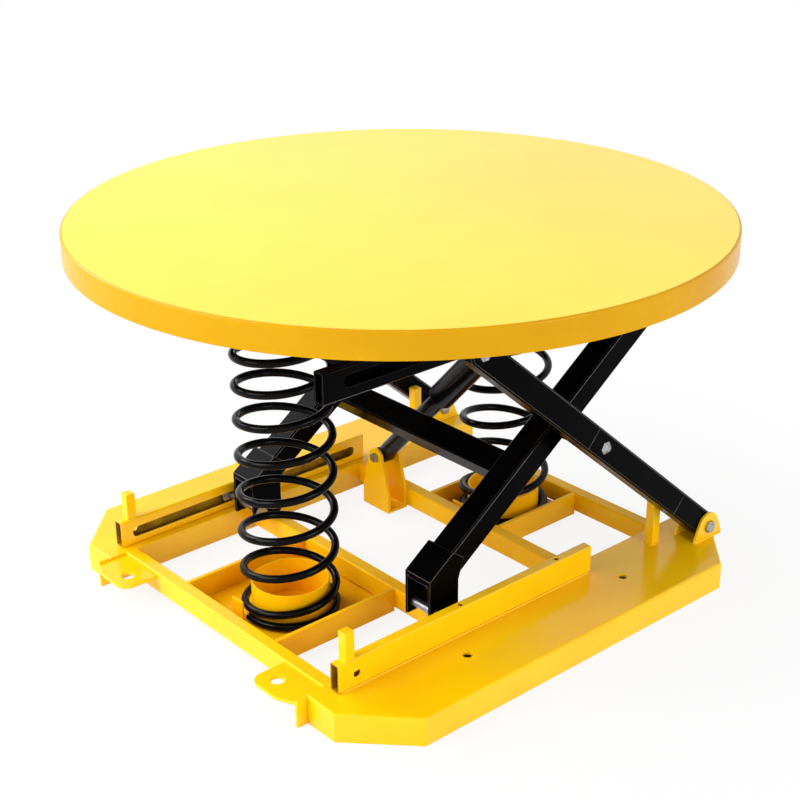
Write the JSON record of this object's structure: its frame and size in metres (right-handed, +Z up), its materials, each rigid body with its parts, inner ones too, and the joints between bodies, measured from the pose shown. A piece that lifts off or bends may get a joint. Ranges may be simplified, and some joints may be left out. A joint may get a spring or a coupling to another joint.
{
  "type": "scissor lift table",
  "caption": "Round turntable on a spring-raised scissor frame with a telescopic damper, roller rails and a welded floor base.",
  "frame": {"origin": "on the floor below the turntable's centre", "axes": "+Z up, +X towards the legs' fixed pivots, -X towards the roller end and the tie-down lugs, +Y to the left side"},
  "size_m": [1.1098, 1.11, 0.661],
  "materials": {
    "yellow_paint": "gloss enamel",
    "black_paint": "semi-gloss enamel",
    "spring_paint": "gloss coating",
    "damper_paint": "satin",
    "bright_steel": "zinc plated",
    "chromed_steel": "polished"
  },
  "bodies": {
    "base": {"base_rails": "yellow_paint", "damper_clevis": "yellow_paint", "damper_foot_pin": "bright_steel", "front_member": "yellow_paint", "front_pocket_bars": "yellow_paint", "front_spring": "spring_paint", "front_stop_posts": "yellow_paint", "inner_front_member": "yellow_paint", "inner_rear_member": "yellow_paint", "leg_pivot_pins": "bright_steel", "pivot_ears": "yellow_paint", "pocket_floors": "yellow_paint", "rear_member": "yellow_paint", "rear_pocket_bars": "yellow_paint", "rear_spring": "spring_paint", "rear_stop_posts": "yellow_paint", "side_plate_left": "yellow_paint", "side_plate_right": "yellow_paint", "spring_cups": "yellow_paint", "tie_down_lugs": "yellow_paint"},
    "turntable": {"turntable_deck": "yellow_paint", "turntable_rim": "yellow_paint", "deck_ribs": "yellow_paint", "hub_ring": "yellow_paint", "upper_race": "bright_steel"},
    "top_frame": {"lower_race": "bright_steel", "bearing_balls": "bright_steel", "bearing_plate": "black_paint", "top_rails": "black_paint", "top_front_member": "black_paint", "top_rear_member": "black_paint", "front_spring_beam": "black_paint", "rear_spring_beam": "black_paint", "ring_beams": "black_paint", "top_pivot_ears": "black_paint", "top_pivot_pins": "bright_steel", "spring_caps": "black_paint", "damper_hanger": "black_paint"},
    "inner_legs": {"inner_legs": "black_paint", "foot_brackets": "black_paint", "head_brackets": "black_paint", "lower_cross_tube": "black_paint", "upper_cross_tube": "black_paint", "base_axles": "bright_steel"},
    "outer_leg_right": {"outer_leg_right": "black_paint", "top_axle_right": "bright_steel", "centre_pin_right": "bright_steel", "centre_spacer_right": "black_paint"},
    "outer_leg_left": {"outer_leg_left": "black_paint", "top_axle_left": "bright_steel", "centre_pin_left": "bright_steel", "centre_spacer_left": "black_paint"},
    "base_roller_right": {"base_roller_right": "bright_steel"},
    "base_roller_left": {"base_roller_left": "bright_steel"},
    "top_roller_right": {"top_roller_right": "bright_steel"},
    "top_roller_left": {"top_roller_left": "bright_steel"},
    "damper_body": {"damper_body": "damper_paint"},
    "damper_rod": {"damper_rod": "chromed_steel", "damper_cover": "damper_paint", "damper_head_pin": "bright_steel"}
  },
  "joints": [
    {"name": "lift", "type": "hinge", "parent": "base", "child": "outer_leg_right", "pos_m": [0.403, -0.35, 0.073], "axis": [0, -1, 0], "range_deg": [0, 32.64], "stiffness_Nm_per_rad": 420, "springref_deg": -91.67, "deforming": ["front_spring", "rear_spring"]},
    {"name": "left_leg_hinge", "type": "hinge", "parent": "base", "child": "outer_leg_left", "pos_m": [0.403, 0.35, 0.073], "axis": [0, -1, 0], "range_deg": [0, 32.65]},
    {"name": "centre_pivot", "type": "hinge", "parent": "outer_leg_right", "child": "inner_legs", "pos_m": [0.12, -0.24, 0.316], "axis": [0, -1, 0], "range_deg": [-65.28, 0]},
    {"name": "top_pivot", "type": "hinge", "parent": "inner_legs", "child": "top_frame", "pos_m": [0.403, 0, 0.559], "axis": [0, -1, 0], "range_deg": [0, 32.65]},
    {"name": "table_spin", "type": "hinge", "parent": "top_frame", "child": "turntable", "pos_m": [0, 0, 0.6], "axis": [0, 0, 1], "continuous": true},
    {"name": "base_roller_right_spin", "type": "hinge", "parent": "inner_legs", "child": "base_roller_right", "pos_m": [-0.163, -0.306, 0.073], "axis": [0, -1, 0], "continuous": true},
    {"name": "base_roller_left_spin", "type": "hinge", "parent": "inner_legs", "child": "base_roller_left", "pos_m": [-0.163, 0.306, 0.073], "axis": [0, -1, 0], "continuous": true},
    {"name": "top_roller_right_spin", "type": "hinge", "parent": "outer_leg_right", "child": "top_roller_right", "pos_m": [-0.163, -0.306, 0.559], "axis": [0, -1, 0], "continuous": true},
    {"name": "top_roller_left_spin", "type": "hinge", "parent": "outer_leg_left", "child": "top_roller_left", "pos_m": [-0.163, 0.306, 0.559], "axis": [0, -1, 0], "continuous": true},
    {"name": "damper_swing", "type": "hinge", "parent": "base", "child": "damper_body", "pos_m": [0.106, 0.172, 0.118], "axis": [1, 0, 0], "range_deg": [0, 55.66]},
    {"name": "damper_stroke", "type": "slide", "parent": "damper_body", "child": "damper_rod", "axis": [0, -0.682, 0.7314], "range_m": [-0.14209, 0]}
  ],
  "couplings": [
    {"joint": "left_leg_hinge", "follows": "lift", "ratio": 1},
    {"joint": "centre_pivot", "follows": "lift", "ratio": -2},
    {"joint": "top_pivot", "follows": "lift", "ratio": 1},
    {"joint": "damper_swing", "follows": "lift", "ratio": 1.7048},
    {"joint": "damper_stroke", "follows": "lift", "m_per_rad": -0.2491}
  ]
}
